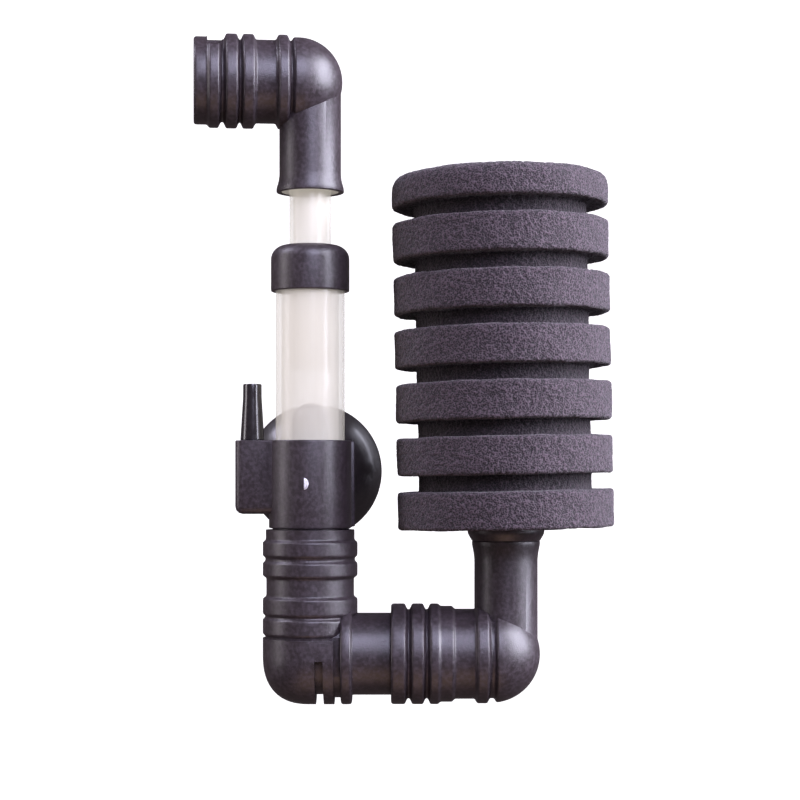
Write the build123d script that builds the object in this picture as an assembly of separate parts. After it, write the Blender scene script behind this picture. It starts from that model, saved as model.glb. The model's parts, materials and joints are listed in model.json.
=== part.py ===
from build123d import *
import math
import os

# Air-driven sponge filter for a small aquarium, millimetres.
# Every piece is drawn in the working frame: the lift column stands on Z, the arm runs along +X,
# the glass is on the +Y side, and the lowest point is at Z = 0. The last lines move every piece so
# that the origin is the centre of the suction cup's rim, on the glass.

os.makedirs("parts", exist_ok=True)

# ---- where the axes are
CUP_Z = 59.4               # suction cup axis above the lowest point
ARM_REACH = 49.9           # lift column axis to sponge axis
ARM_Z = 12.85              # arm axis above the lowest point, and the radius of the base corner

# ---- fits
RUN = 0.06                 # radial clearance where pieces turn or slide on each other
END_GAP = 0.4              # between end faces that turn past each other
SOFT_GAP = 0.3             # foam round the strainer core
EDGE = 0.6                 # broken edge on ribs and rims

# ---- lift tubes
TUBE_R = 8.8               # outer tube
TUBE_WALL = 1.5
TUBE_TOP = 112.6
SLIDE_R = 5.3              # inner tube, which slides in the collar
SLIDE_WALL = 1.0
SLIDE_FOOT = 85.3          # lands on the diffuser dome when pushed right down
SLIDE_TOP = 144.0

# ---- air chamber
CHAMBER_R = TUBE_R + 1.7
CHAMBER_BOTTOM = 44.9
CHAMBER_TOP = 67.2
TUBE_FOOT = 57.2           # ledge the outer tube stands on
SPIGOT_R = CHAMBER_R - 0.9 # turning spigot under the chamber
SPIGOT_LENGTH = 12.0
BOX_X = -18.9              # outer face of the side air box
BOX_HALF_Y = 4.5
BOX_BOTTOM = 48.5
BOX_WALL = 1.6
BRACKET_HALF_X = 11.1
BRACKET_THICK = 2.0
CUP_POCKET = 2.8           # room between chamber and bracket for the cup's head
BRACKET_BACK = CHAMBER_R + CUP_POCKET + BRACKET_THICK

# ---- air nipple
NIPPLE_X = -14.75
NIPPLE_BASE_R = 3.06
NIPPLE_TIP_R = 2.36        # for hose of 4 mm bore
NIPPLE_LAND = 3.0          # straight length behind the tip
NIPPLE_TOP = 81.6
NIPPLE_SEAT_R = 2.2
NIPPLE_BORE_R = 1.3

# ---- air diffuser inside the chamber
DOME_R = 4.7
DOME_WALL = 1.2
DOME_FOOT = 50.9
DOME_TOP = 76.7
SPOKE_Z = 53.6
SPOKE_R = 2.2

# ---- collar at the top of the outer tube
COLLAR_R = TUBE_R + 1.2
COLLAR_BOTTOM = 105.1
COLLAR_TOP = 116.9
COLLAR_SHOULDER = 3.6

# ---- outlet elbow
OUTLET_TURN = 6.0          # degrees the outlet is swung out from the wall of the tank
OUTLET_Z = 158.4
OUTLET_OPEN_X = -29.6
OUTLET_BALL_X = -3.1
OUTLET_BALL_R = 11.3
OUTLET_BORE_R = 9.3
OUTLET_BORE_LENGTH = 13.0
OUTLET_LEG_R = 7.85
OUTLET_MOUTH_Z = 130.3
OUTLET_BANDS = [(3.6, 11.15), (2.9, 11.8), (1.3, 10.7), (3.3, 11.8), (1.0, 10.9), (3.5, 11.8),
                (5.4, 10.6), (2.9, 11.8), (1.1, 10.9), (1.5, 11.3)]

# ---- base elbow
RISER_TOP = CHAMBER_BOTTOM - END_GAP
RISER_R = SPIGOT_R + RUN + 1.51
RISER_RIB = 0.9
RISER_BORE_R = SPIGOT_R - 1.0
ARM_SPIGOT_R = 10.43
ARM_BORE_R = ARM_SPIGOT_R - 1.53
COLLAR_END_X = 10.6
CORNER_ROUND = 10.5

# ---- sponge elbow
ELBOW_OPEN_X = ARM_REACH - 29.3
ELBOW_BALL_X = ARM_REACH - 3.8
ELBOW_SOCKET = 14.4
ELBOW_SOCKET_R = ARM_SPIGOT_R + RUN
ELBOW_BORE_R = ARM_SPIGOT_R - 1.03
ELBOW_BALL_R = ELBOW_BORE_R + 2.75
ELBOW_LEG_R = 8.06
ELBOW_MOUTH_Z = 41.7
ELBOW_WALLS = [(3.9, 2.31), (1.2, 0.91), (3.4, 2.31), (1.2, 0.91), (2.6, 2.31), (3.6, 1.71),
               (5.7, 0.96), (3.2, 2.11), (0.7, 0.91)]   # (length, wall over the socket)

# ---- strainer core and sponge
CORE_R = 6.9
CORE_WALL = 1.6
CORE_SEAT_R = 6.5
CORE_SEAT = 8.0
CORE_FLANGE_R = 9.8
CORE_TOP = 126.0
SLOT_WIDTH = 3.0
SLOT_HEIGHT = 11.0
SLOT_PITCH = 15.0
SLOT_ROWS = 5
SPONGE_BOTTOM = 44.9
SPONGE_R = 27.5
SPONGE_NECK_R = 22.0
FIN_PITCH = 13.6
FIN_HEIGHT = 9.6
FIN_COUNT = 7
TOP_FIN_HEIGHT = 8.2
FOAM_ROUND = 1.0

# ---- suction cup
CUP_R = 18.0
CUP_DEPTH = 13.7           # bracket to glass
COLUMN_TO_GLASS = BRACKET_BACK + CUP_DEPTH
CUP_LIP = 1.2
CUP_HOLLOW = 6.0
NECK_R = 2.6
HEAD_R = 4.0
BOSS_R = 5.5


def turned(profile):
    """Solid turned about Z from (height, radius) points, bottom to top."""
    points = [(0, profile[0][0])]
    for z, r in profile:
        if (r, z) != points[-1]:
            points.append((r, z))
    points.append((0, profile[-1][0]))
    return revolve(make_face(Plane.XZ * Polyline(*points, close=True)), Axis.Z)


def banded(start, bands, last_open=False):
    """Profile of a ribbed leg: bands of (length, radius), edges broken where the radius drops."""
    radii = [0.0] + [r for _, r in bands] + [bands[-1][1] if last_open else 0.0]
    points = []
    z = start
    for i, (length, r) in enumerate(bands):
        low = max(0.0, min(EDGE, r - radii[i]))
        high = max(0.0, min(EDGE, r - radii[i + 2]))
        points.append((round(z, 4), r - low))
        if low:
            points.append((round(z + low, 4), r))
        if high:
            points.append((round(z + length - high, 4), r))
        z += length
        points.append((round(z, 4), r - high))
    return points


def rod(radius, low, high):
    """Cylinder on Z between two heights."""
    return Pos(0, 0, low) * Cylinder(radius, high - low, align=(Align.CENTER, Align.CENTER, Align.MIN))


def bar(radius, low, high):
    """Cylinder on X between two stations."""
    return Rot(0, 90, 0) * rod(radius, low, high)


def block(x0, x1, y0, y1, z0, z1):
    """Box between two corners."""
    return Pos((x0 + x1) / 2, (y0 + y1) / 2, (z0 + z1) / 2) * Box(x1 - x0, y1 - y0, z1 - z0)


# ---- suction cup: axis along Y, rim on the glass
def suction_cup():
    seat = COLUMN_TO_GLASS
    plate_front = BRACKET_BACK - BRACKET_THICK
    profile = [
        (seat - CHAMBER_R - 0.4, HEAD_R - 0.7),
        (seat - CHAMBER_R - 1.1, HEAD_R),
        (seat - plate_front + 0.2, HEAD_R),
        (seat - plate_front + 0.2, NECK_R),
        (seat - BRACKET_BACK - 0.2, NECK_R),
        (seat - BRACKET_BACK - 0.2, BOSS_R),
        (seat - BRACKET_BACK - 2.2, BOSS_R + 0.4),
        (9.6, 8.6),
        (7.0, 12.6),
        (3.6, 15.9),
        (1.4, 17.5),
        (0.5, CUP_R),
        (0.0, CUP_R),
    ]
    hollow = [
        (CUP_HOLLOW, 6.0),
        (5.2, 10.0),
        (2.6, 14.0),
        (0.8, CUP_R - CUP_LIP - 0.6),
        (0.0, CUP_R - CUP_LIP),
    ]
    # heights above are distances from the glass, so the turned solids point away from it
    solid = turned(profile[::-1]) - turned(hollow[::-1])
    return Pos(0, COLUMN_TO_GLASS, CUP_Z) * Rot(90, 0, 0) * solid


# ---- air chamber: tube socket, turning spigot, side air box and the bracket for the cup
def air_box():
    solid = block(BOX_X, -CHAMBER_R + 3.0, -BOX_HALF_Y, BOX_HALF_Y, BOX_BOTTOM, CHAMBER_TOP)
    outer = list(solid.edges().filter_by(Axis.Z).group_by(Axis.X)[0])
    outer.append(solid.edges().filter_by(Axis.Y).group_by(Axis.Z)[0].sort_by(Axis.X)[0])
    return fillet(outer, radius=1.5)


def bracket():
    front = BRACKET_BACK - BRACKET_THICK
    plate = block(-BRACKET_HALF_X, BRACKET_HALF_X, front, BRACKET_BACK, CHAMBER_BOTTOM, CHAMBER_TOP)
    for side in (-1, 1):
        x = side * (BRACKET_HALF_X - 2.6)
        plate += block(x - 0.9, x + 0.9, 4.0, front + 0.5, CHAMBER_BOTTOM, CHAMBER_TOP)
    hole = Pos(0, BRACKET_BACK + 1, CUP_Z) * Rot(90, 0, 0) * rod(NECK_R + RUN, 0, BRACKET_THICK + 2)
    mouth = NECK_R * 0.8
    slot = block(-mouth, mouth, front - 1, BRACKET_BACK + 1, CHAMBER_BOTTOM - 1, CUP_Z)
    return plate - hole - slot


def air_chamber():
    passage = TUBE_R - TUBE_WALL
    spigot_foot = CHAMBER_BOTTOM - SPIGOT_LENGTH
    solid = turned([
        (spigot_foot, SPIGOT_R - EDGE),
        (spigot_foot + EDGE, SPIGOT_R),
        (CHAMBER_BOTTOM, SPIGOT_R),
        (CHAMBER_BOTTOM, CHAMBER_R),
        (CHAMBER_TOP - 0.4, CHAMBER_R),
        (CHAMBER_TOP, CHAMBER_R - 0.4),
    ])
    solid += air_box()
    solid += bracket()
    solid -= rod(passage, spigot_foot - 1, CHAMBER_TOP + 1)
    solid -= rod(TUBE_R, TUBE_FOOT, CHAMBER_TOP + 1)
    inner_x = BOX_X + BOX_WALL
    solid -= block(inner_x, inner_x + 5.3, -BOX_HALF_Y + BOX_WALL, BOX_HALF_Y - BOX_WALL,
                   BOX_BOTTOM + BOX_WALL, CHAMBER_TOP - 1.8)
    solid -= Pos(NIPPLE_X, 0, 0) * rod(NIPPLE_SEAT_R, CHAMBER_TOP - 3, CHAMBER_TOP + 1)
    solid -= Pos(0, 0, SPOKE_Z) * bar(SPOKE_R, inner_x + 4, -passage + 1)
    return solid


# ---- air nipple, pushed into the top of the air box
def air_nipple():
    tip = NIPPLE_TOP - 0.4
    solid = turned([
        (CHAMBER_TOP - 1.8, NIPPLE_SEAT_R),
        (CHAMBER_TOP, NIPPLE_SEAT_R),
        (CHAMBER_TOP, NIPPLE_BASE_R),
        (tip - NIPPLE_LAND, NIPPLE_TIP_R),
        (tip, NIPPLE_TIP_R),
        (NIPPLE_TOP, NIPPLE_TIP_R - 0.4),
    ])
    solid -= rod(NIPPLE_BORE_R, CHAMBER_TOP - 3, NIPPLE_TOP + 1)
    return Pos(NIPPLE_X, 0, 0) * solid


# ---- air diffuser: domed thimble with a ring of holes, fed by a hollow spoke from the air box
def air_diffuser():
    crown = DOME_TOP - DOME_R
    inner = DOME_R - DOME_WALL
    spoke_end = BOX_X + BOX_WALL + 5.3
    solid = rod(DOME_R, DOME_FOOT, crown) + Pos(0, 0, crown) * Sphere(DOME_R)
    solid += Pos(0, 0, SPOKE_Z) * bar(SPOKE_R, spoke_end, 0)
    solid -= rod(inner, DOME_FOOT + DOME_WALL, crown) + Pos(0, 0, crown) * Sphere(inner)
    solid -= Pos(0, 0, SPOKE_Z) * bar(SPOKE_R - 0.9, spoke_end - 1, 0)
    for i in range(4):
        solid -= Pos(0, 0, crown - 1.5) * Rot(0, 0, 45 * i + 22.5) * bar(0.5, -DOME_R - 1, DOME_R + 1)
    return solid


# ---- lift tubes and the collar between them
def outer_lift_tube():
    return rod(TUBE_R, TUBE_FOOT, TUBE_TOP) - rod(TUBE_R - TUBE_WALL, TUBE_FOOT - 1, TUBE_TOP + 1)


def tube_collar():
    solid = rod(COLLAR_R, COLLAR_BOTTOM, COLLAR_TOP)
    solid = fillet(solid.edges().group_by(Axis.Z)[-1], radius=COLLAR_SHOULDER)
    solid = chamfer(solid.edges().group_by(Axis.Z)[0], length=0.3)
    inner = TUBE_R - TUBE_WALL - 0.05
    solid -= rod(TUBE_R, COLLAR_BOTTOM - 1, TUBE_TOP) - rod(inner, COLLAR_BOTTOM - 1, TUBE_TOP)
    return solid - rod(SLIDE_R + RUN, COLLAR_BOTTOM - 1, COLLAR_TOP + 1)


def inner_lift_tube():
    return rod(SLIDE_R, SLIDE_FOOT, SLIDE_TOP) - rod(SLIDE_R - SLIDE_WALL, SLIDE_FOOT - 1, SLIDE_TOP + 1)


# ---- outlet elbow: ribbed leg on -X, ball corner, plain leg down to the mouth
def outlet_elbow():
    at = Pos(0, 0, OUTLET_Z)
    mouth_r = OUTLET_LEG_R + 0.6
    solid = at * Rot(0, 90, 0) * turned(banded(OUTLET_OPEN_X, OUTLET_BANDS, True))
    solid += at * Pos(OUTLET_BALL_X, 0, 0) * Sphere(OUTLET_BALL_R)
    solid += turned([
        (OUTLET_MOUTH_Z, mouth_r - 0.3),
        (OUTLET_MOUTH_Z + 0.3, mouth_r),
        (OUTLET_MOUTH_Z + 3.0, mouth_r),
        (OUTLET_MOUTH_Z + 4.0, OUTLET_LEG_R),
        (OUTLET_Z, OUTLET_LEG_R),
    ])
    hollow = OUTLET_BORE_R - 0.9
    solid -= at * bar(OUTLET_BORE_R, OUTLET_OPEN_X - 1, OUTLET_OPEN_X + OUTLET_BORE_LENGTH)
    solid -= at * bar(hollow, OUTLET_OPEN_X, OUTLET_BALL_X)
    solid -= at * Pos(OUTLET_BALL_X, 0, 0) * Sphere(hollow)
    solid -= rod(SLIDE_R - SLIDE_WALL, OUTLET_MOUTH_Z, OUTLET_Z)
    solid -= rod(SLIDE_R + RUN, OUTLET_MOUTH_Z, SLIDE_TOP + END_GAP)
    solid -= turned([
        (OUTLET_MOUTH_Z - 1, mouth_r - 1.1),
        (OUTLET_MOUTH_Z + 0.6, mouth_r - 1.1),
        (OUTLET_MOUTH_Z + 3.0, SLIDE_R + RUN),
    ])
    return Rot(0, 0, OUTLET_TURN) * solid


# ---- base elbow: ribbed riser, rounded corner and the arm's spigot
def riser_bands():
    rib = RISER_R + RISER_RIB
    notch = RISER_R + 0.3
    return [(0.9, notch), (4.2, rib), (0.9, notch), (4.35, rib), (5.2, RISER_R),
            (3.8, rib), (1.3, notch), (4.0, rib), (2.9, RISER_R + 0.13)]


def base_corner(shoulder):
    """Solid corner under the riser: round seen from above, along the arm and at the heel."""
    high = 2 * ARM_Z
    side = RISER_R + 0.85
    at = Pos(0, 0, ARM_Z)
    form = rod(side, 0, shoulder) + block(0, COLLAR_END_X, -side - 1, side + 1, 0, high)
    form &= at * bar(ARM_Z, -side - 1, COLLAR_END_X)
    mould = block(-side, COLLAR_END_X + 1, -side - 2, side + 2, 0, high)
    heel = mould.edges().filter_by(Axis.Y).group_by(Axis.Z)[0].sort_by(Axis.X)[0]
    form &= fillet(heel, radius=CORNER_ROUND)
    ring = bar(ARM_Z + 1, 6.2, 7.9) - bar(ARM_Z - 1.5, 5.0, 8.8)
    notch = bar(ARM_Z + 1, 1.5, 3.6) - bar(ARM_Z - 1.8, 0.0, 4.0)
    notch &= block(0, 4, -20, 20, -ARM_Z - 2, -1.0)
    return form - at * ring - at * notch


def base_elbow():
    end = ELBOW_OPEN_X + ELBOW_SOCKET - END_GAP
    bands = riser_bands()
    shoulder = RISER_TOP - sum(b[0] for b in bands)
    solid = turned(banded(shoulder, bands))
    solid += base_corner(shoulder)
    solid += Pos(0, 0, ARM_Z) * bar(ARM_SPIGOT_R, 0, end)
    solid -= rod(SPIGOT_R + RUN, CHAMBER_BOTTOM - SPIGOT_LENGTH - END_GAP, RISER_TOP + 1)
    solid -= rod(RISER_BORE_R, ARM_Z, RISER_TOP)
    solid -= Pos(0, 0, ARM_Z) * (Sphere(ARM_BORE_R) + bar(ARM_BORE_R, 0, end + 1))
    return solid


# ---- sponge elbow: ribbed socket on the arm's spigot, ball corner, plain leg up to the core
def sponge_elbow():
    at = Pos(0, 0, ARM_Z)
    post = Pos(ARM_REACH, 0, 0)
    bands = [(length, ELBOW_SOCKET_R + wall) for length, wall in ELBOW_WALLS]
    bands.append((ELBOW_BALL_X - ELBOW_OPEN_X - sum(b[0] for b in bands), ELBOW_BALL_R))
    mouth_r = ELBOW_LEG_R + 0.6
    solid = at * Rot(0, 90, 0) * turned(banded(ELBOW_OPEN_X, bands, True))
    solid += at * Pos(ELBOW_BALL_X, 0, 0) * Sphere(ELBOW_BALL_R)
    solid += post * turned([
        (ARM_Z, ELBOW_LEG_R),
        (ELBOW_MOUTH_Z - 3.4, ELBOW_LEG_R),
        (ELBOW_MOUTH_Z - 3.0, mouth_r),
        (ELBOW_MOUTH_Z, mouth_r),
    ])
    solid -= at * bar(ELBOW_SOCKET_R, ELBOW_OPEN_X - 1, ELBOW_OPEN_X + ELBOW_SOCKET)
    solid -= at * bar(ELBOW_BORE_R, ELBOW_OPEN_X, ELBOW_BALL_X)
    solid -= at * Pos(ELBOW_BALL_X, 0, 0) * Sphere(ELBOW_BORE_R)
    solid -= post * rod(CORE_R - CORE_WALL, ARM_Z, ELBOW_MOUTH_Z)
    solid -= post * rod(CORE_SEAT_R, ELBOW_MOUTH_Z - CORE_SEAT, ELBOW_MOUTH_Z + 1)
    return solid


# ---- strainer core: slotted tube with a closed top, its flange under the sponge
def strainer_core():
    solid = turned([
        (ELBOW_MOUTH_Z - CORE_SEAT, CORE_SEAT_R),
        (ELBOW_MOUTH_Z, CORE_SEAT_R),
        (ELBOW_MOUTH_Z, CORE_FLANGE_R - 0.2),
        (ELBOW_MOUTH_Z + 0.3, CORE_FLANGE_R),
        (SPONGE_BOTTOM, CORE_FLANGE_R),
        (SPONGE_BOTTOM, CORE_R),
        (CORE_TOP - 1.5, CORE_R),
        (CORE_TOP, CORE_R - 1.5),
    ])
    solid -= rod(CORE_R - CORE_WALL, ELBOW_MOUTH_Z - CORE_SEAT - 1, CORE_TOP - 1.6)
    for row in range(SLOT_ROWS):
        low = SPONGE_BOTTOM + 5 + row * SLOT_PITCH
        cut = block(-CORE_R - 1, CORE_R + 1, -SLOT_WIDTH / 2, SLOT_WIDTH / 2, low, low + SLOT_HEIGHT)
        solid -= cut
        solid -= Rot(0, 0, 90) * cut
    return Pos(ARM_REACH, 0, 0) * solid


# ---- sponge: one finned foam block with a blind hole for the core
def sponge():
    solid = rod(SPONGE_NECK_R, SPONGE_BOTTOM, SPONGE_BOTTOM + (FIN_COUNT - 1) * FIN_PITCH + 1)
    for i in range(FIN_COUNT):
        low = SPONGE_BOTTOM + i * FIN_PITCH
        top_fin = i == FIN_COUNT - 1
        high = low + (TOP_FIN_HEIGHT if top_fin else FIN_HEIGHT)
        soft = FOAM_ROUND * (1.8 if top_fin else 1.0)
        solid += turned([
            (low, SPONGE_R - FOAM_ROUND),
            (low + FOAM_ROUND, SPONGE_R),
            (high - soft, SPONGE_R),
            (high, SPONGE_R - soft),
        ])
    solid -= rod(CORE_R + SOFT_GAP, SPONGE_BOTTOM - 1, CORE_TOP + 0.6)
    return Pos(ARM_REACH, 0, 0) * solid


PIECES = {
    "suction_cup": suction_cup,
    "air_chamber": air_chamber,
    "air_nipple": air_nipple,
    "air_diffuser": air_diffuser,
    "outer_lift_tube": outer_lift_tube,
    "tube_collar": tube_collar,
    "inner_lift_tube": inner_lift_tube,
    "outlet_elbow": outlet_elbow,
    "base_elbow": base_elbow,
    "sponge_elbow": sponge_elbow,
    "strainer_core": strainer_core,
    "sponge": sponge,
}

for name, make in PIECES.items():
    piece = Pos(0, -COLUMN_TO_GLASS, -CUP_Z) * make()
    solids = piece.solids()
    print(name, "solids", len(solids), "volume", round(sum(s.volume for s in solids) / 1000, 2), "cm3")
    export_step(solids[0] if len(solids) == 1 else Compound(children=list(solids)), f"parts/{name}.step")
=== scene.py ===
# %% [markdown]
# # A sponge filter for a small aquarium
# The CAD frame holds the sizes, the joints and the twelve pieces. This lesson gives each piece its
# finished surface: moulded ribs with eased edges, milky tubes, a rubber cup and a block of open foam.
# Everything is drawn in one working frame: millimetres, the lift column on Z, the arm along +X, the
# glass on the +Y side, and the lowest point at height 0. The last step of every piece moves it into
# the part's own frame, in metres.

# %% Load the frame
import json
import math

import bpy
import numpy as np
from mathutils import Matrix, Vector


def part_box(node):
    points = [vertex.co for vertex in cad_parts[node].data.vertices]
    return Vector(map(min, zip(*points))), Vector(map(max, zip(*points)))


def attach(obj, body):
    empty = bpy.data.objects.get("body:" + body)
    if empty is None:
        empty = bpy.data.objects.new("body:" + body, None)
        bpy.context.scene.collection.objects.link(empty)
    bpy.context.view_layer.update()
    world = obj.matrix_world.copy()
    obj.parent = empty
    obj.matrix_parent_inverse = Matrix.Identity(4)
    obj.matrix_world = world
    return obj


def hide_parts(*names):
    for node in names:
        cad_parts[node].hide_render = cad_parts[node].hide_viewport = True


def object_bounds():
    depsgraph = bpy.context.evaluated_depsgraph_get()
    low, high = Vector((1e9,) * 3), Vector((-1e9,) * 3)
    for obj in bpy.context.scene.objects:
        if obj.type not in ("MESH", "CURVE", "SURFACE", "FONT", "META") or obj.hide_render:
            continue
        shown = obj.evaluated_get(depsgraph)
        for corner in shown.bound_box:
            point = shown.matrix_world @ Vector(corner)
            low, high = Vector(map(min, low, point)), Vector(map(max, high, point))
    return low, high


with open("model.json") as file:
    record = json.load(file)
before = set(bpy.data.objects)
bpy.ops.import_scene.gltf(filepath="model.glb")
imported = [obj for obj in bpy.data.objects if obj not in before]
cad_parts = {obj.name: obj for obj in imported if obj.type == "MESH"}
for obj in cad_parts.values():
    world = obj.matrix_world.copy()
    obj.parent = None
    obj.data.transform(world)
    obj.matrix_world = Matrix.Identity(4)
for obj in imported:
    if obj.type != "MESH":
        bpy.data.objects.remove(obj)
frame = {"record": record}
cad_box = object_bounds()
MM = 0.001

# %% [markdown]
# ## The working frame
# Heights, reaches and radii are read from the boxes of the CAD nodes, so the looks follow the design
# if it changes. A turned piece gives its own axis, which is the middle of its box.


# %% Read sizes from the frame
def in_part_frame(node_name):
    """Low and high corner of a CAD node's box, in millimetres."""
    return [np.array(corner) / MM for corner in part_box(node_name)]


tube_box, foot_box = in_part_frame("outer_lift_tube"), in_part_frame("base_elbow")
ORIGIN = np.array([*(tube_box[0] + tube_box[1])[:2] / 2, foot_box[0][2]])


def span(node_name):
    """The same corners, in the working frame."""
    return [corner - ORIGIN for corner in in_part_frame(node_name)]


tube_low, tube_high = span("outer_lift_tube")
slide_low, slide_high = span("inner_lift_tube")
collar_low, collar_high = span("tube_collar")
chamber_low, chamber_high = span("air_chamber")
nipple_low, nipple_high = span("air_nipple")
dome_low, dome_high = span("air_diffuser")
outlet_low, outlet_high = span("outlet_elbow")
base_low, base_high = span("base_elbow")
elbow_low, elbow_high = span("sponge_elbow")
core_low, core_high = span("strainer_core")
foam_low, foam_high = span("sponge")
cup_low, cup_high = span("suction_cup")

RUN = 0.06
TUBE_R = tube_high[0]
TUBE_BORE = TUBE_R - 1.5
SLIDE_R = slide_high[0]
SLIDE_BORE = SLIDE_R - 1.0
ARM_Z = base_high[1]
REACH = (foam_low[0] + foam_high[0]) / 2
POST = (REACH, 0, 0)
CUP_Z = (cup_low[2] + cup_high[2]) / 2
print("column at", ORIGIN.round(2), "arm height", ARM_Z.round(2),
      "reach", REACH.round(2), "cup", CUP_Z.round(2))

# %% [markdown]
# ## Outlines and turned shapes
# Nearly every piece of this filter is a pipe fitting, which is a profile turned about an axis. Blender's
# screw modifier could turn it, but a grid worked out with numpy keeps the profile exact and readable.
# Corners are eased with a short curve, because no moulding has a knife edge, and the eased edge is
# what catches the light along each rib.


# %% Outline helpers
def eased(corners, radius=0.5, steps=5):
    """Corners of an open outline, each replaced by a curve.

    With A and B a short way along the two sides of corner C, the curve is
    (1-s)^2 A + 2 s (1-s) C + s^2 B. The ends stay as they are.
    """
    p = np.array(corners, float)
    radius = np.broadcast_to(radius, (len(p),))[1:-1, None]
    corner = p[1:-1]
    left, right = p[:-2] - corner, p[2:] - corner
    left_long, right_long = (np.linalg.norm(v, axis=1, keepdims=True) for v in (left, right))
    reach = np.minimum(radius, 0.48 * np.minimum(left_long, right_long))
    a, b = corner + left / left_long * reach, corner + right / right_long * reach
    s = np.linspace(0, 1, steps)[None, :, None]
    curve = (1 - s) ** 2 * a[:, None] + 2 * s * (1 - s) * corner[:, None] + s**2 * b[:, None]
    return np.vstack([p[:1], curve.reshape(-1, 2), p[-1:]])


def banded(start, bands):
    """Corners of a stepped leg from its (length, radius) bands, two for each band."""
    lengths, radii = np.array(bands, float).T
    stations = start + np.concatenate([[0], np.cumsum(lengths)])
    return np.column_stack([np.repeat(stations, 2)[1:-1], np.repeat(radii, 2)])


def worn(start, bands, ball_x=0.0, ball_r=0.0, blur=0.26, step=0.1):
    """Outline of the same leg with round ribs and soft groove floors.

    The stepped radius is blurred along the leg: r(h) = sum of w_i r(h + i step), where the weights
    w_i = exp(-(i step / blur)^2 / 2) are scaled to add up to 1. A ball at the end, of radius
    sqrt(ball_r^2 - (h - ball_x)^2), is blurred with it over its first part. Points in line with
    their neighbours are left out.
    """
    lengths, radii = np.array(bands, float).T
    ends = start + np.cumsum(lengths)
    last = max(ends[-1], ball_x + 0.6 * ball_r) if ball_r else ends[-1]
    h = np.linspace(start, last, int((last - start) / step) + 1)
    r = radii[np.minimum(np.searchsorted(ends, h, side="right"), len(radii) - 1)]
    if ball_r:
        r = np.where(h > ends[-1], np.sqrt(ball_r**2 - np.clip(h - ball_x, -ball_r, ball_r) ** 2), r)
    weights = np.exp(-0.5 * (np.arange(-12, 13) * step / blur) ** 2)
    slope = r[-1] - r[-2] if ball_r else 0.0
    padded = np.concatenate([np.full(12, r[0]), r, r[-1] + slope * np.arange(1, 13)])
    r = np.convolve(padded, weights / weights.sum(), "valid")
    kept = np.abs(np.diff(r, 2)) > 2e-4
    kept = np.concatenate([[True], kept, [True]])
    return np.column_stack([h, r])[kept]


def capped(corners):
    """The same corners, with the two ends closed down to the axis."""
    p = np.asarray(corners, float)
    return np.vstack([[p[0, 0], 0], p, [p[-1, 0], 0]])


def arc(centre, radius, start, end, steps=24, lift=0.0):
    """Ball outline (centre + r cos a, lift + r sin a), with the angle a in degrees."""
    a = np.radians(np.linspace(start, end, steps))
    return np.column_stack([centre + radius * np.cos(a), np.maximum(lift + radius * np.sin(a), 0)])


# %% [markdown]
# A turned solid is a grid: one row of points for each point of the outline, one column for each step
# round the axis. A box is the one shape here that isn't turned. Both go into Blender as plain meshes.

# %% Turning an outline into a mesh
AXIS_ORDER = {"Z": [0, 1, 2], "X": [2, 0, 1], "Y": [1, 2, 0]}


def new_object(name, points, faces):
    """Mesh object from an array of points and a list of faces."""
    mesh = bpy.data.meshes.new(name)
    mesh.from_pydata(np.asarray(points).tolist(), [], faces)
    obj = bpy.data.objects.new(name, mesh)
    bpy.context.scene.collection.objects.link(obj)
    return obj


def turned(name, outline, axis="Z", at=(0, 0, 0), sides=144):
    """Solid turned from (height, radius) points: (r cos t, r sin t, h), with its axis on Z, X or Y.

    An outline with both ends on the axis is closed there by poles. Any other is a closed section,
    such as a tube's wall, whose last point joins its first. The signed area of the outline says
    which way it runs, so that the faces always point outwards.
    """
    h, r = np.asarray(outline, float).T
    if np.sum(h * np.roll(r, -1) - np.roll(h, -1) * r) > 0:
        h, r = h[::-1], r[::-1]
    poles = r[0] < 1e-9 and r[-1] < 1e-9
    ends = [[0, 0, h[0]], [0, 0, h[-1]]]
    if poles:
        h, r = h[1:-1], r[1:-1]
    t = np.linspace(0, 2 * np.pi, sides, endpoint=False)
    grid = np.stack([np.outer(r, np.cos(t)), np.outer(r, np.sin(t)), np.outer(h, np.ones(sides))], -1)
    index = np.arange(len(h) * sides).reshape(-1, sides)
    ahead = np.roll(index, -1, axis=1)
    corners = np.stack([index, ahead, np.roll(ahead, -1, axis=0), np.roll(index, -1, axis=0)], -1)
    faces = (corners[:-1] if poles else corners).reshape(-1, 4).tolist()
    points = grid.reshape(-1, 3)
    if poles:
        first = len(points)
        points = np.vstack([points, ends])
        faces += np.stack([np.full(sides, first), ahead[0], index[0]], -1).tolist()
        faces += np.stack([np.full(sides, first + 1), index[-1], ahead[-1]], -1).tolist()
    return new_object(name, points[:, AXIS_ORDER[axis]] + np.array(at, float), faces)


def slab(name, low, high, edge=0.0):
    """Box between two corners, its edges rounded if edge is given."""
    low, high = np.array(low, float), np.array(high, float)
    unit = np.array([[x, y, z] for x in (0, 1) for y in (0, 1) for z in (0, 1)])
    faces = [[0, 1, 3, 2], [4, 6, 7, 5], [0, 4, 5, 1], [2, 3, 7, 6], [0, 2, 6, 4], [1, 5, 7, 3]]
    box = new_object(name, low + unit * (high - low), faces)
    return softened(box, edge) if edge else box


# %% [markdown]
# ## Joining and cutting
# A fitting with two legs is two turned solids made one, and its passage is cut from it afterwards. The
# boolean modifier does both, and its result is kept as the mesh, so no helper solid stays behind.


# %% Joining, cutting and finishing
def settle(obj):
    """Keeps what the modifiers make of a mesh as the mesh itself."""
    graph = bpy.context.evaluated_depsgraph_get()
    mesh = bpy.data.meshes.new_from_object(obj.evaluated_get(graph))
    obj.modifiers.clear()
    old, obj.data = obj.data, mesh
    bpy.data.meshes.remove(old)
    return obj


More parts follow.
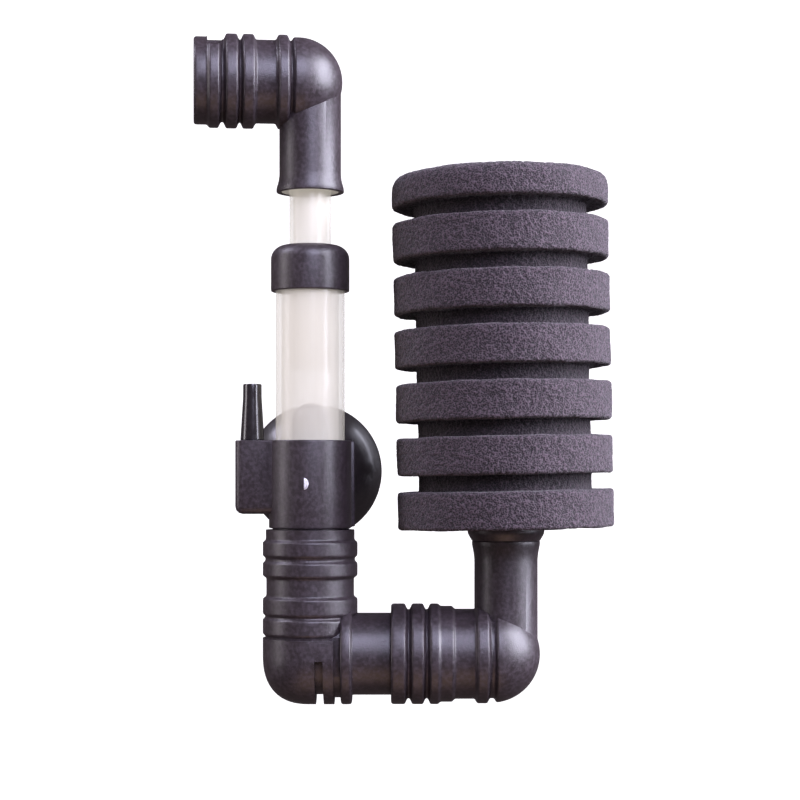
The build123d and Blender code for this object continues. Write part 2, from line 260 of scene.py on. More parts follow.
def softened(obj, width, angle=40):
    """Rounds every edge sharper than angle degrees."""
    bevel = obj.modifiers.new("soft_edges", "BEVEL")
    bevel.width, bevel.segments = width, 3
    bevel.limit_method, bevel.angle_limit = "ANGLE", math.radians(angle)
    return settle(obj)


def combine(obj, others, operation):
    """Joins, cuts or crosses obj with each of the others, which are used up."""
    for other in others:
        step = obj.modifiers.new(operation.lower(), "BOOLEAN")
        step.operation, step.object, step.solver = operation, other, "EXACT"
        settle(obj)
        bpy.data.objects.remove(other)
    return obj


def join(obj, *others):
    return combine(obj, others, "UNION")


def cut(obj, *others):
    return combine(obj, others, "DIFFERENCE")


def cross(obj, *others):
    return combine(obj, others, "INTERSECT")


def place(obj, node_name, body, finish, turn=0.0, crisp=34):
    """Moves a finished piece into the part's frame, gives it its finish, and hands it to its body."""
    obj.data.transform(Matrix.Rotation(turn, 4, "Z"))
    obj.data.transform(Matrix.Diagonal((MM, MM, MM, 1)))
    obj.data.transform(Matrix.Translation(Vector(ORIGIN * MM)))
    obj.data.materials.clear()
    obj.data.materials.append(finish)
    obj.data.polygons.foreach_set("use_smooth", np.ones(len(obj.data.polygons), bool))
    obj.data.set_sharp_from_angle(angle=math.radians(crisp))
    obj.data.update()
    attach(obj, body)
    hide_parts(node_name)
    print(obj.name, len(obj.data.vertices), "points,", len(obj.data.polygons), "faces")
    return obj


# %% [markdown]
# ## Finishes
# The filter has six: satin black moulded plastic, the same plastic polished for the hose nipple, black
# rubber, a pale plastic for a small mark on the chamber, milky clear tube and open foam. Each is built
# from a few nodes on Object coordinates, so that a pattern has its real size in metres and stays with its
# piece.


# %% Node helpers
def material(name):
    """New node material, its shader node and its Object coordinates."""
    m = bpy.data.materials.new(name)
    m.use_nodes = True
    return m, m.node_tree.nodes["Principled BSDF"], node(m, "ShaderNodeTexCoord").outputs["Object"]


def node(m, kind, settings=None, **inputs):
    """Adds a node with its settings and its inputs' values, or their sources."""
    n = m.node_tree.nodes.new(kind)
    for key, value in (settings or {}).items():
        setattr(n, key, value)
    feed(m, n, {key.replace("_", " "): value for key, value in inputs.items()})
    return n


def feed(m, n, inputs):
    """Sets each named input to a value, or links it where an output socket is given."""
    for key, value in inputs.items():
        socket = n.inputs[key]
        if isinstance(value, bpy.types.NodeSocket):
            m.node_tree.links.new(value, socket)
        else:
            socket.default_value = value


def noise(m, where, size, detail=3.0):
    """Noise whose lumps are about size metres across, from 0 to 1."""
    return node(m, "ShaderNodeTexNoise", Vector=where, Scale=1 / size, Detail=detail).outputs["Fac"]


def between(m, value, low, high, low_to, high_to):
    """Value stretched from low..high to low_to..high_to, and held there."""
    n = node(m, "ShaderNodeMapRange", Value=value, From_Min=low, From_Max=high, To_Min=low_to, To_Max=high_to)
    return n.outputs["Result"]


def maths(m, operation, first, second):
    """One sum on two values."""
    n = node(m, "ShaderNodeMath", {"operation": operation})
    feed(m, n, {0: first, 1: second})
    return n.outputs[0]


def mixed(m, factor, first, second):
    """Colour between first and second."""
    n = node(m, "ShaderNodeMix", {"data_type": "RGBA"})
    feed(m, n, {0: factor, 6: (*first, 1), 7: (*second, 1)})
    return n.outputs[2]


def bumped(m, height, strength, distance):
    """Surface direction for a fine relief."""
    return node(m, "ShaderNodeBump", Height=height, Strength=strength, Distance=distance).outputs["Normal"]


# %% [markdown]
# Black plastic is seen by what it mirrors. Its colour is nearly even, and the patches of gloss and the
# fine grain of the mould make it look moulded rather than painted, so those come from noise.

# %% Moulded plastic and rubber
def moulded(name, dark, pale, gloss, spread, grain, coat=0.0):
    """Black moulding: cloudy colour, patchy gloss and a fine spark-eroded grain."""
    m, shader, where = material(name)
    cloud, grit = noise(m, where, 0.006), noise(m, where, 0.0003, 2)
    dust = noise(m, where, 0.0009, 4)
    patchy = between(m, cloud, 0.3, 0.7, gloss - spread, gloss + spread)
    grainy = between(m, dust, 0.3, 0.7, -spread, spread)
    feed(m, shader, {
        "Base Color": mixed(m, between(m, dust, 0.4, 0.72, 0, 1), dark, pale),
        "Roughness": maths(m, "ADD", patchy, grainy),
        "Normal": bumped(m, grit, grain, 0.00008),
        "IOR": 1.58,
        "Coat Weight": coat,
        "Coat Roughness": 0.15,
    })
    return m


satin = moulded("satin_plastic", (0.022, 0.016, 0.018), (0.050, 0.038, 0.046), 0.40, 0.045, 0.45)
polished = moulded("polished_plastic", (0.012, 0.010, 0.011), (0.020, 0.017, 0.019),
                   0.22, 0.03, 0.03, coat=0.5)
rubber = moulded("cup_rubber_skin", (0.016, 0.013, 0.013), (0.024, 0.020, 0.020),
                 0.32, 0.02, 0.03, coat=0.2)
pale_mark_finish = moulded("pale_mark_plastic", (0.45, 0.43, 0.46), (0.75, 0.74, 0.78), 0.45, 0.03, 0.10)
print("black finishes:", satin.name, polished.name, rubber.name, pale_mark_finish.name)


# %% [markdown]
# The tubes are clear plastic with a white haze. Bent light would be truer, but a skin that hides part
# of what is behind it is steadier and quicker. A faint glow stands in for light passing through.

# %% Milky clear tube
def milky(name, dull, bright, haze, gloss, glow):
    """Tube skin: white haze hides a share of what is behind, and a painted glow stands in for the light let
    through.
    """
    m, shader, where = material(name)
    squeezed = node(m, "ShaderNodeMapping", Vector=where, Scale=(1, 1, 0.04)).outputs["Vector"]
    lines, cloud = noise(m, squeezed, 0.0012, 2), noise(m, where, 0.004)
    feed(m, shader, {
        "Base Color": mixed(m, lines, dull, bright),
        "Roughness": between(m, cloud, 0.3, 0.7, gloss - 0.04, gloss + 0.05),
        "Normal": bumped(m, lines, 0.15, 0.0002),
        "Alpha": haze,
        # Painted light: the emission makes the tube glow though it is no lamp.
        "Emission Color": (1.0, 0.96, 0.90, 1),
        "Emission Strength": glow,
        "IOR": 1.45,
    })
    return m


tube_finish = milky("milky_tube", (0.60, 0.57, 0.48), (0.66, 0.63, 0.54), 0.45, 0.18, 0.21)


# %% [markdown]
# Foam is a net of thin struts round open cells. The large cells are in the mesh, and the finish paints
# shade into their pits and the grooves, and adds cells too small to model, with painted shade in their holes.

# %% Open foam
def open_foam(name, painted_shade_colour, strut_and_shade):
    """Foam: an attribute carries painted shade for the mesh's cell pits and grooves, and finer cell holes
    with painted shade lie over them.
    """
    m, shader, where = material(name)
    cell_and_groove_shade = node(m, "ShaderNodeAttribute", {"attribute_name": "strut_and_shade"}).outputs["Fac"]
    fine = node(m, "ShaderNodeTexVoronoi", Vector=where, Scale=1 / 0.00044).outputs["Distance"]
    cloud = noise(m, where, 0.003, 4)
    coarse, small = between(m, cell_and_groove_shade, 0.0, 1.0, 0.3, 1.0), between(m, fine, 0.32, 0.82, 0.08, 1.7)
    # Painted shade: coarse darkens the cell pits and grooves, small darkens the holes of the finer cells.
    specks = maths(m, "MULTIPLY", coarse, small)
    shade = maths(m, "MULTIPLY", specks, between(m, cloud, 0.3, 0.7, 0.8, 1.1))
    feed(m, shader, {
        "Base Color": mixed(m, shade, painted_shade_colour, strut_and_shade),
        "Normal": bumped(m, fine, 0.8, 0.0002),
        "Roughness": 0.8,
        "Specular IOR Level": 0.4,
        "Sheen Weight": 0.12,
        "Sheen Roughness": 0.5,
    })
    return m


# The first colour is the painted shade in pits, holes and grooves; the second is the foam's own colour.
foam_finish = open_foam("open_foam", (0.003, 0.002, 0.0025), (0.066, 0.045, 0.057))

# %% [markdown]
# ## Outlet elbow
# The elbow at the top turns the rising water out over the tank. It is a ribbed leg that ends in a
# half ball, with a thinner plain leg standing in it. The ribbed leg and the ball share one outline,
# turned about the leg's axis, so there is no seam between them.


# %% Legs with a ball, legs with a mouth
def ball_leg(name, start, bands, ball_x, ball_r, height):
    """Ribbed leg along +X from start, closed by the half ball at its far end."""
    mouth = eased([(start, 0), (start, bands[0][1]), (start + 1.8, bands[0][1])], 0.8)[:-1]
    side = worn(start, bands, ball_x, ball_r)
    side = side[side[:, 0] > start + 1.2]
    first = math.degrees(math.acos(0.6))
    return turned(name, np.vstack([mouth, side, arc(ball_x, ball_r, first - 2, 0)]), "X", (0, 0, height))


def plain_leg(name, mouth, top, radius, at=(0, 0, 0), lip=0.6, lip_height=3.0):
    """Plain leg about Z from its mouth, which flares by lip, to its end inside the ball."""
    step = math.copysign(1, top - mouth)
    corners = [(mouth, 0), (mouth, radius + lip), (mouth + step, radius + lip),
               (mouth + step * lip_height, radius), (top, radius), (top, 0)]
    return turned(name, eased(corners, [0, 0.3, 1.2, 2.0, 0, 0], 8), "Z", at)


def bent_passage(name, start, bands, ball_x, ball_r, height):
    """What is cut out of a ball leg: stepped bore and round end."""
    side = eased(np.vstack([[start, 0], banded(start, bands)]), 0.15)[:-1]
    return turned(name, np.vstack([side, arc(ball_x, ball_r, 89, 0)]), "X", (0, 0, height))


# %% [markdown]
# The ribbed leg and the plain leg are joined, a flat is cut in the top rib where the plastic came in,
# and the passage is cut last, so that it stays clear. A pale ring of the glowing tube skin sits just
# inside the mouth, a painted reflection of the light that glints up inside it.

# %% Outlet elbow
outlet_mount = next(m for m in frame["record"]["mounts"] if m["name"] == "outlet")
outlet_turn = math.atan2(-outlet_mount["axis"][1], -outlet_mount["axis"][0])
OUTLET_Z = outlet_mount["pos_m"][2] / MM - ORIGIN[2]
OUTLET_BORE = outlet_mount["dims"]["r_mm"]
BALL_X, OPEN_X = -3.1, -29.6
outlet_bands = [(3.7, 11.0), (2.9, 11.8), (1.3, 10.3), (3.3, 11.85), (1.0, 10.3), (3.2, 11.85), (5.7, 10.5),
                (2.9, 11.85), (1.0, 10.3), (1.5, 11.3)]
outlet = ball_leg("outlet_elbow_moulding", OPEN_X, outlet_bands, BALL_X, 11.3, OUTLET_Z)
join(outlet, plain_leg("outlet_leg", outlet_low[2], OUTLET_Z, 7.85, lip=0.75, lip_height=3.6))
gate_ring = turned("gate_ring", [
    (OPEN_X + 3.4, 10.15), (OPEN_X + 3.4, 16), (OPEN_X + 7.1, 16), (OPEN_X + 7.1, 10.15)],
    "X", (0, 0, OUTLET_Z))
cut(outlet, cross(gate_ring, slab("gate_room", (-40, -20, OUTLET_Z + 7.5), (-10, 20, OUTLET_Z + 20))))
bore_end = OPEN_X + outlet_mount["dims"]["length_mm"]
cut(outlet,
    bent_passage("outlet_bore", OPEN_X - 1, [
        (1.4, OUTLET_BORE + 0.5), (bore_end - OPEN_X - 0.4, OUTLET_BORE),
        (BALL_X - bore_end, OUTLET_BORE - 0.9)], BALL_X, OUTLET_BORE - 0.9, OUTLET_Z),
    turned("outlet_mouth", capped(eased([
        (outlet_low[2] - 1, 8.0), (outlet_low[2] + 0.6, 7.45), (outlet_low[2] + 4.5, 7.2),
        (outlet_low[2] + 5.2, SLIDE_R + RUN), (slide_high[2] + 0.4, SLIDE_R + RUN),
        (slide_high[2] + 0.4, SLIDE_BORE), (OUTLET_Z - 2, SLIDE_BORE)], 0.2))))
place(outlet, "outlet_elbow", "outlet", satin, turn=outlet_turn)
# Painted reflection: this glowing ring stands in for the light glinting inside the mouth.
glint_ring = turned("mouth_glint_ring", eased([
    (outlet_low[2] + 2, SLIDE_R + 0.1), (outlet_low[2] + 0.15, SLIDE_R + 0.1), (outlet_low[2] + 0.15, 7.3),
    (outlet_low[2] + 4.3, 7.15), (outlet_low[2] + 4.3, SLIDE_R + 0.1),
    (outlet_low[2] + 2, SLIDE_R + 0.1)], 0.3)[:-1])
place(glint_ring, "outlet_elbow", "outlet", tube_finish)

# %% [markdown]
# ## Sponge elbow
# The elbow under the sponge is the same idea in a larger mould: three close round ribs, a plain length,
# one more rib against the ball, and a leg that takes the strainer core.

# %% Sponge elbow
ELBOW_OPEN, ELBOW_SOCKET = elbow_low[0], 14.4
ELBOW_BALL_X, ELBOW_BALL_R = REACH - 3.8, elbow_high[0] - REACH + 3.8
elbow_bands = [(3.9, 12.8), (1.2, 11.3), (3.4, 12.8), (1.2, 11.3), (2.6, 12.8), (3.6, 12.2), (5.7, 11.45),
               (3.2, 12.6), (1.7, 11.3)]
elbow = ball_leg("sponge_elbow_moulding", ELBOW_OPEN, elbow_bands, ELBOW_BALL_X, ELBOW_BALL_R, ARM_Z)
join(elbow, plain_leg("core_leg", elbow_high[2], ARM_Z, 8.06, POST, lip_height=4.0))
cut(elbow,
    bent_passage("arm_socket", ELBOW_OPEN - 1, [(1.5, 11.0), (ELBOW_SOCKET - 0.5, 10.49),
                 (ELBOW_BALL_X - ELBOW_OPEN - ELBOW_SOCKET, 9.4)], ELBOW_BALL_X, 9.4, ARM_Z),
    turned("core_seat", capped(eased([(ARM_Z + 3, 5.3), (core_low[2], 5.3), (core_low[2], 6.5),
           (elbow_high[2] + 1, 6.5)], 0.15)), "Z", POST))
place(elbow, "sponge_elbow", "sponge_arm", satin)

# %% [markdown]
# ## Base elbow
# The base elbow carries the column. Its riser is ribbed, its spigot runs into the sponge elbow, and
# its heel is a rounded block. The heel is round seen from above, round along the arm and round at the
# corner, which one formula gives: slices across Y, each the same outline, scaled by the chord.


# %% Base elbow
def heel_block(name, side, low, corner=2.45):
    """Heel about the crossing of column and arm, open towards +X and +Z.

    A slice at depth y has the outline |x/side|^q + |z/low|^q = s^q for x, z < 0, and runs straight
    on past 0, with s = sqrt(1 - (y/side)^2).
    """
    a = np.linspace(0, 2 * np.pi, 192, endpoint=False)
    x, z = np.cos(a), np.sin(a)
    wall = (np.maximum(-x, 0) / side) ** corner + (np.maximum(-z, 0) / low) ** corner
    reach = 1 / np.maximum(wall ** (1 / corner), 1 / 400)
    t = np.radians(np.linspace(-89.5, 89.5, 120))
    chord = np.cos(t)
    grid = np.stack([np.outer(chord, reach * x), np.outer(np.sin(t), side + 0 * a),
                     np.outer(chord, reach * z)], -1)
    index = np.arange(grid[..., 0].size).reshape(len(t), -1)
    ahead = np.roll(index, -1, axis=1)
    faces = np.stack([index[:-1], index[1:], ahead[1:], ahead[:-1]], -1).reshape(-1, 4).tolist()
    faces += [index[0].tolist(), index[-1][::-1].tolist()]
    return new_object(name, grid.reshape(-1, 3) + [0, 0, ARM_Z], faces)


RISER_TOP = base_high[2]
notch, rib, smooth = 11.4, 12.07, 11.17
riser_bands = [(0.9, notch), (4.2, rib), (0.9, notch), (4.35, rib), (5.2, smooth), (3.8, rib), (1.3, notch),
               (4.0, rib), (2.9, 11.3)]
SHOULDER = RISER_TOP - sum(length for length, _ in riser_bands)
ARM_END = ELBOW_OPEN + ELBOW_SOCKET - 0.4

heel = cross(heel_block("base_elbow_moulding", -base_low[0], ARM_Z),
             slab("heel_room", (-20, -20, -5), (6.2, 20, SHOULDER)))
softened(heel, 0.45)
slot_ring = turned("slot_ring", [(1.5, 10.3), (1.5, 16), (3.6, 16), (3.6, 10.3)], "X", (0, 0, ARM_Z))
cut(heel, cross(slot_ring, slab("slot_room", (-1, -20, -5), (5, 20, ARM_Z - 1))))
riser = turned("riser", capped(worn(SHOULDER - 3, [(3, 11.3)] + riser_bands)))
stub = turned("arm_stub", capped([(5.0, 11.1), (9.0, 11.1)]), "X", (0, 0, ARM_Z))
cross(stub, slab("stub_room", (4, -10, -5), (10, 10, 30)))
band = turned("arm_band", capped(eased([(7.9, ARM_Z), (10.7, ARM_Z), (10.7, 10.43), (ARM_END, 10.43)],
              [0, 0.8, 0.4, 0])), "X", (0, 0, ARM_Z))
join(heel, riser, stub, softened(band, 0.6))
bore = np.vstack([arc(0, 8.9, 179.9, 90), [(ARM_END + 1, 8.9), (ARM_END + 1, 0)]])
cut(heel,
    turned("riser_bore", capped(eased([
        (ARM_Z, 8.6), (chamber_low[2] - 0.4, 8.6), (chamber_low[2] - 0.4, 9.66),
        (RISER_TOP - 0.5, 9.66), (RISER_TOP + 1, 10.8)], 0.15))),
    turned("arm_bore", np.vstack([[-8.9, 0], bore]), "X", (0, 0, ARM_Z)))
place(heel, "base_elbow", "arm", satin)

# %% [markdown]
# ## Air chamber and nipple
# The chamber is a short sleeve with the air box on its side and the cup's bracket at its back. Air
# comes in through the nipple, a separate polished piece pushed into the top of the box.

# %% Air chamber
CHAMBER_R, TOP = 10.5, chamber_high[2]
RIM_Z = RISER_TOP + 0.4
BOX_X, BOX_LOW = chamber_low[0], 48.5
BACK = chamber_high[1]
NIPPLE_X = (nipple_low[0] + nipple_high[0]) / 2
sleeve = turned("air_chamber_moulding", capped(eased([(chamber_low[2], 9.6), (RIM_Z, 9.6), (RIM_Z, CHAMBER_R),
                (TOP, CHAMBER_R), (TOP, TUBE_R - 1)], [0, 0.1, 0.35, 0.4, 0])))
air_box = cross(slab("air_box", (BOX_X, -4.5, BOX_LOW), (-7.5, 4.5, TOP + 5), 1.9),
                slab("box_room", (-30, -10, 0), (0, 10, TOP)))
plate = slab("bracket_plate", (-11.1, BACK - 2, RIM_Z), (11.1, BACK, TOP), 0.35)
webs = [slab("web", (x - 0.9, 4.0, RIM_Z + 0.03), (x + 0.9, BACK - 1, TOP - 0.03), 0.2)
        for x in (-8.5, 8.5)]
join(sleeve, softened(air_box, 0.3, 60), plate, *webs)
cut(sleeve,
    turned("water_lane", capped(eased([
        (chamber_low[2] - 1, TUBE_BORE), (tube_low[2], TUBE_BORE), (tube_low[2], TUBE_R),
        (TOP - 0.4, TUBE_R), (TOP + 1, TUBE_R + 1.2)], 0.1))),
    turned("neck_hole", capped([(BACK - 5, 2.66), (BACK + 2, 2.66)]), "Y", (0, 0, CUP_Z)),
    slab("neck_slot", (-2.08, BACK - 2.4, RIM_Z - 2), (2.08, BACK + 2, CUP_Z)),
    slab("air_room", (BOX_X + 1.6, -2.9, BOX_LOW + 1.6), (BOX_X + 6.9, 2.9, TOP - 1.8)),
    turned("nipple_seat", capped([(nipple_low[2] - 0.5, 2.2), (TOP + 1, 2.2)]), "Z", (NIPPLE_X, 0, 0)),
    turned("spoke_hole", capped([(BOX_X + 5, 2.2), (-6, 2.2)]), "X", (0, 0, 53.6)))
place(sleeve, "air_chamber", "column", satin)

# %% [markdown]
# A small pale mark sits on the front of the chamber. It is half a small dome, squashed flat and
# set into the front of the chamber, which is simpler than painting one place on it.

# %% Pale mark
pale_mark = turned("pale_mark_dome", arc(0, 1.0, 180, 0, 16), "Z", sides=32)
cross(pale_mark, slab("pale_mark_room", (0, -2, -2), (2, 2, 2)))
pale_mark_place = Matrix.Translation((-1.1, 0.12 - CHAMBER_R, CUP_Z - 3.2))
pale_mark.data.transform(pale_mark_place @ Matrix.Diagonal((1.2, 0.45, 1.5, 1)))
place(pale_mark, "air_chamber", "column", pale_mark_finish)

# %% [markdown]
# The nipple tapers, so that a soft hose is pushed on easily and then grips. It is a closed section
# turned about its own axis, with its bore in the section, so nothing needs cutting.

# %% Air nipple
nipple = turned("air_nipple_moulding", eased([
    (nipple_low[2], 1.7), (nipple_low[2], 2.18), (TOP, 2.18), (TOP, 3.06), (nipple_high[2] - 3.4, 2.38),
    (nipple_high[2], 2.36), (nipple_high[2], 1.3), (nipple_low[2], 1.3), (nipple_low[2], 1.7)],
    [0, 0.1, 0.1, 0.3, 0.8, 0.35, 0.25, 0.1, 0])[:-1], "Z", (NIPPLE_X, 0, 0), 72)
place(nipple, "air_nipple", "column", polished)

# %% [markdown]
# ## Air diffuser
# A domed thimble stands in the foot of the lift tube. A hollow spoke feeds it from the air box, and a
# ring of small holes under the dome breaks the air into bubbles.

# %% Air diffuser
DOME_R = 4.7
CROWN, SPOKE_Z = dome_high[2] - DOME_R, 53.6
dome_foot = dome_low[2]
dome = np.vstack([[(dome_foot, 0), (dome_foot, DOME_R)], arc(CROWN, DOME_R, 90, 0)])
dome_space = np.vstack([[(dome_foot + 1.2, 0), (dome_foot + 1.2, 3.5)], arc(CROWN, 3.5, 90, 0)])
diffuser = turned("air_diffuser_moulding", dome, sides=96)
join(diffuser, turned("spoke", capped([(dome_low[0], 2.18), (-2, 2.18)]), "X", (0, 0, SPOKE_Z), 48))
drills = [turned("air_hole", capped([(-8, 0.5), (8, 0.5)]), "X", sides=16) for _ in range(4)]
for i, drill in enumerate(drills):
    spin = Matrix.Rotation(math.radians(45 * i + 22.5), 4, "Z")
    drill.data.transform(Matrix.Translation((0, 0, CROWN - 1.5)) @ spin)
cut(diffuser,
    turned("dome_room", dome_space, sides=96),
    turned("spoke_room", capped([(dome_low[0] - 1, 1.3), (0, 1.3)]), "X", (0, 0, SPOKE_Z), 32), *drills)
place(diffuser, "air_diffuser", "column", satin)

# %% [markdown]
# ## Lift tubes and collar
# Two drawn tubes, one sliding inside the other's collar. Each is the closed section of its wall turned
# about the column, with its cut ends just broken. The collar is a cap with a soft shoulder.


# %% Tubes and collar
def tube(name, low, high, bore, radius):
    """Tube wall as a closed section with eased ends."""
    middle = (low + high) / 2
    corners = [(middle, bore), (low, bore), (low, radius), (high, radius), (high, bore), (middle, bore)]
    return turned(name, eased(corners, 0.25)[:-1])


place(tube("outer_tube_wall", tube_low[2], tube_high[2], TUBE_BORE, TUBE_R),
      "outer_lift_tube", "column", tube_finish)
place(tube("inner_tube_wall", slide_low[2], slide_high[2], SLIDE_BORE, SLIDE_R),
      "inner_lift_tube", "slide_tube", tube_finish)
low, high, lid = collar_low[2], collar_high[2], tube_high[2]
rim = eased([(low + 3, TUBE_R), (low, TUBE_R), (low, collar_high[0]), (high - 3.6, collar_high[0])],
            [0, 0.1, 0.4, 0])
shoulder = arc(0, 1, 90, 0, 12) * [3.6, 3.8] + [high - 3.6, collar_high[0] - 3.8]
lining = eased([(high, 6), (high, SLIDE_R + RUN), (low, SLIDE_R + RUN), (low, TUBE_BORE - 0.05),
                (lid, TUBE_BORE - 0.05), (lid, TUBE_R), (low + 3, TUBE_R)],
               [0, 0.4, 0.3, 0.2, 0.1, 0.1, 0])[:-1]
collar = turned("tube_collar_moulding", np.vstack([rim[:-1], shoulder, lining[1:]]))
place(collar, "tube_collar", "column", satin)

# %% [markdown]
# ## Suction cup
# The cup is one piece of rubber: a retaining head, a neck through the bracket, and a thin dish whose
# lip lies on the glass. It is one closed section turned about the neck's axis.

# %% Suction cup
GLASS, head, front = cup_high[1], cup_low[1], BACK - 2
cup_outline = [
    (head, 0), (head, 3.6), (head + 0.9, 4.0), (front - 0.2, 4.0), (front - 0.2, 2.6), (BACK + 0.2, 2.6),
    (BACK + 0.2, 5.5), (BACK + 2.2, 5.9), (GLASS - 9.6, 8.6), (GLASS - 7.0, 12.6), (GLASS - 3.6, 15.9),
    (GLASS - 1.4, 17.5), (GLASS - 0.5, 18.0), (GLASS, 18.0), (GLASS, 16.8), (GLASS - 0.8, 16.2),
    (GLASS - 2.6, 14.0), (GLASS - 5.2, 10.0), (GLASS - 6.0, 6.0), (GLASS - 6.2, 0)]
cup_ease = [0, 0.3, 0.4, 0.5, 0.1, 0.1, 0.5, 0.8, 2.2, 2.2, 2.2, 0.8, 0.25, 0.2, 0.3, 0.6, 1.5, 2.5, 2.0, 0]
cup = turned("suction_cup_rubber", eased(cup_outline, cup_ease, 6), "Y", (0, 0, CUP_Z), 160)
place(cup, "suction_cup", "cup", rubber)

# %% [markdown]
# ## Strainer core
# The core is out of sight until the sponge is pulled off: a tube with rows of slots, a closed nose and
# a flange that the foam sits on.

# %% Strainer core
seat_top, flange_top, nose = elbow_high[2], foam_low[2], core_high[2]
core = turned("strainer_core_moulding", capped(eased([
    (core_low[2], 6.48), (seat_top, 6.48), (seat_top, 8.7), (seat_top + 1.9, 9.8), (flange_top, 9.8),
    (flange_top, 6.9), (nose, 6.9), (nose, 3)], [0, 0.1, 0.2, 1.0, 0.3, 0.3, 1.6, 0], 6)), "Z", POST, 120)
cutters = [turned("core_bore", capped([(core_low[2] - 1, 5.3), (nose - 1.6, 5.3)]), "Z", POST, 96)]
for row in range(5):
    low = flange_top + 5 + 15 * row
    cutters += [slab("slot", (REACH - x, -y, low), (REACH + x, y, low + 11), 0.6)
                for x, y in ((9, 1.5), (1.5, 9))]
cut(core, *cutters)
place(core, "strainer_core", "sponge_arm", satin)

# %% [markdown]
# ## Sponge
# The sponge is cut from open-cell foam, and seven fins leave six grooves between them. Its cells are
# big enough to show, so they are in the shape itself: a fine turned grid is pushed in wherever it
# comes near the middle of a cell. The cells are a jittered lattice, one point in each small cube, so
# the pattern is even in depth as well as along the surface, and the same on every run.


# %% Cell pattern
def scattered(cubes, seed):
    """Three steady numbers from 0 to 1 for each whole-number cube: the fraction of a large sine."""
    turns = cubes @ np.array([[127.1, 269.5, 419.2], [311.7, 183.3, 371.9], [74.7, 246.1, 158.3]])
    return np.modf(np.abs(np.sin(turns + seed) * 43758.5453))[0]


def cell_distance(points, size, seed):
    """Distance to the nearest cell middle, in cell sizes."""
    p = points / size
    home = np.floor(p)
    nearest = np.full(len(p), 9.0)
    for step in np.ndindex(3, 3, 3):
        cube = home + np.array(step) - 1
        nearest = np.minimum(nearest, np.linalg.norm(cube + scattered(cube, seed) - p, axis=1))
    return nearest


def walked(outline, step):
    """The same outline with a point about every step along it."""
    p = np.asarray(outline, float)
    run = np.concatenate([[0], np.cumsum(np.linalg.norm(np.diff(p, axis=0), axis=1))])
    at = np.linspace(0, run[-1], int(run[-1] / step) + 2)
    return np.column_stack([np.interp(at, run, p[:, 0]), np.interp(at, run, p[:, 1])])


# %% Sponge
FOAM_R, NECK_R, HOLE_R = (foam_high[0] - foam_low[0]) / 2, 22.0, 7.2
PITCH, FIN, FINS = 13.6, 9.6, 7
foot, crest, grain = foam_low[2], foam_high[2], 0.36
fins, soft = [(foot, HOLE_R)], [0]
for i in range(FINS):
    low = foot + i * PITCH
    top_fin = i == FINS - 1
    fins += [(low, FOAM_R), (crest if top_fin else low + FIN, FOAM_R)]
    soft += [0.9, 4.2 if top_fin else 0.9]
    if not top_fin:
        fins += [(low + FIN, NECK_R), (low + PITCH, NECK_R)]
        soft += [0.4, 0.4]
outside = walked(eased(fins + [(crest, 0)], soft + [0], 6), grain)
inside = walked([(nose + 0.6, 0), (nose + 0.6, HOLE_R), (foot, HOLE_R)], 2.0)[:-1]
foam = turned("finned_sponge", np.vstack([inside, outside]), "Z", POST, 480)

count = len(foam.data.vertices)
flat = np.empty(count * 3)
foam.data.vertices.foreach_get("co", flat)
points = flat.reshape(-1, 3).copy()
foam.data.vertex_normals.foreach_get("vector", flat)
outward = flat.reshape(-1, 3).copy()
across = np.hypot(points[:, 0] - REACH, points[:, 1])
skin = np.clip((across - HOLE_R - 1.5) / 3, 0, 1)
skin[points[:, 2] > nose + 3] = 1
skin[(points[:, 2] < nose + 1) & (across < HOLE_R + 0.1)] = 0
strut_and_shade = np.clip(cell_distance(points, 0.8, 3.0) / 0.75, 0, 1)
waviness = np.sin(points @ [0.31, 0.23, 0.17]) * np.sin(points @ [-0.19, 0.29, 0.41] + 1)
push = (-0.5 * (1 - strut_and_shade) ** 1.5 + 0.12 * waviness) * skin
points += outward * push[:, None]
LEAN = math.radians(1.1)
lean = skin * LEAN
from_foot = points - [REACH, 0, foot]
points[:, 0] += -from_foot[:, 2] * lean
points[:, 2] += from_foot[:, 0] * lean
foam.data.vertices.foreach_set("co", points.ravel())
# Painted shade: the colour is darker in the cell pits, and darker still in the grooves between the fins.
painted_pit_and_groove_shade = strut_and_shade * (0.2 + 0.8 * np.clip((across - NECK_R) / (FOAM_R - NECK_R), 0, 1))
foam.data.attributes.new("strut_and_shade", "FLOAT", "POINT").data.foreach_set("value", painted_pit_and_groove_shade)
print("foam strut height", strut_and_shade.mean().round(3), "points", count)
place(foam, "sponge", "foam", foam_finish, crisp=180)

# %% [markdown]
# ## Stage, lights and camera
# A pale round room stands far behind and below the filter. It is a turned shell with its faces to the
# inside. It glows by itself and lights nothing, so it stays even and the panels alone shape the filter.

# %% Stage
middle = Vector(((cad_box[0] + cad_box[1]) / 2)[:])
room = turned("pale_room", np.vstack([[(-260, 0), (-260, 2200)], arc(-200, 2400, 90, 0, 16)]), sides=96)
room.data.flip_normals()
room.data.transform(Matrix.Diagonal((MM, MM, MM, 1)))
paint, shader, _ = material("pale_room_paint")
feed(paint, shader, {"Base Color": (0.9, 0.9, 0.9, 1), "Roughness": 1.0,
                     "Emission Color": (1, 1, 1, 1), "Emission Strength": 1.0})
room.data.materials.append(paint)
room.visible_diffuse = room.visible_glossy = room.visible_shadow = False


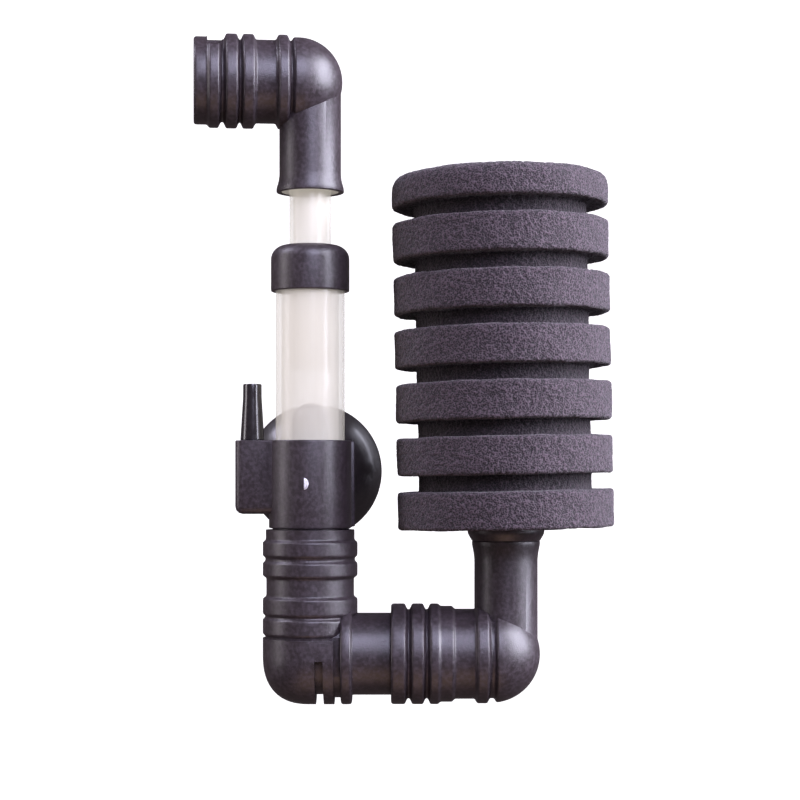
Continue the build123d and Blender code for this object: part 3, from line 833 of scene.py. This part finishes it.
# %% [markdown]
# Five panels light the filter: a bright one at the upper right, a tall soft one in front, two weak
# ones at the left that draw its left edges, and a faint warm one below. They are aimed at the middle
# of the CAD box, so they follow it if it changes.

# %% Lights
def panel(name, azimuth, elevation, distance, size, power, colour):
    """Area light that faces the middle of the filter; azimuth 0 is the camera's side, 90 the right."""
    light = bpy.data.lights.new(name, "AREA")
    light.shape, light.size, light.size_y = "RECTANGLE", *size
    light.energy, light.color = power, colour
    obj = bpy.data.objects.new(name, light)
    a, e = math.radians(azimuth), math.radians(elevation)
    away = Vector((math.sin(a) * math.cos(e), -math.cos(a) * math.cos(e), math.sin(e)))
    obj.location = middle + away * distance
    obj.rotation_euler = away.to_track_quat("Z", "Y").to_euler()
    bpy.context.scene.collection.objects.link(obj)


panel("right_key", 74, 24, 0.8, (0.70, 0.80), 28, (0.84, 0.84, 1.0))
panel("front_fill", 12, 34, 1.0, (0.37, 0.75), 10.8, (0.74, 0.73, 1.0))
panel("upper_left_glint", -90, 45, 0.8, (0.25, 0.25), 3.0, (0.84, 0.80, 1.0))
panel("left_fill", -80, 10, 0.8, (0.25, 0.70), 2.4, (1.0, 0.93, 0.98))
panel("floor_glow", 0, -60, 0.9, (0.60, 0.60), 1.2, (1.0, 0.62, 0.45))

world = bpy.data.worlds.new("soft_room_light")
world.use_nodes = True
world.node_tree.nodes["Background"].inputs["Color"].default_value = (0.12, 0.10, 0.11, 1)
bpy.context.scene.world = world

# %% [markdown]
# A long lens held level keeps the tubes upright. Shifting the lens, rather than tilting the camera,
# moves the filter in the picture without making its sides lean.

# %% Camera
lens = bpy.data.cameras.new("camera")
lens.lens, lens.sensor_width, lens.shift_y = 90, 36, 0.09375
camera = bpy.data.objects.new("camera", lens)
camera.location = (0.0229, -0.539, -0.001)
camera.rotation_euler = (math.radians(90), 0, 0)
bpy.context.scene.collection.objects.link(camera)
bpy.context.scene.camera = camera
bpy.context.scene.view_settings.view_transform = "Standard"

# %% Hand over
print("cad box", [tuple(round(v / MM, 2) for v in c) for c in cad_box])
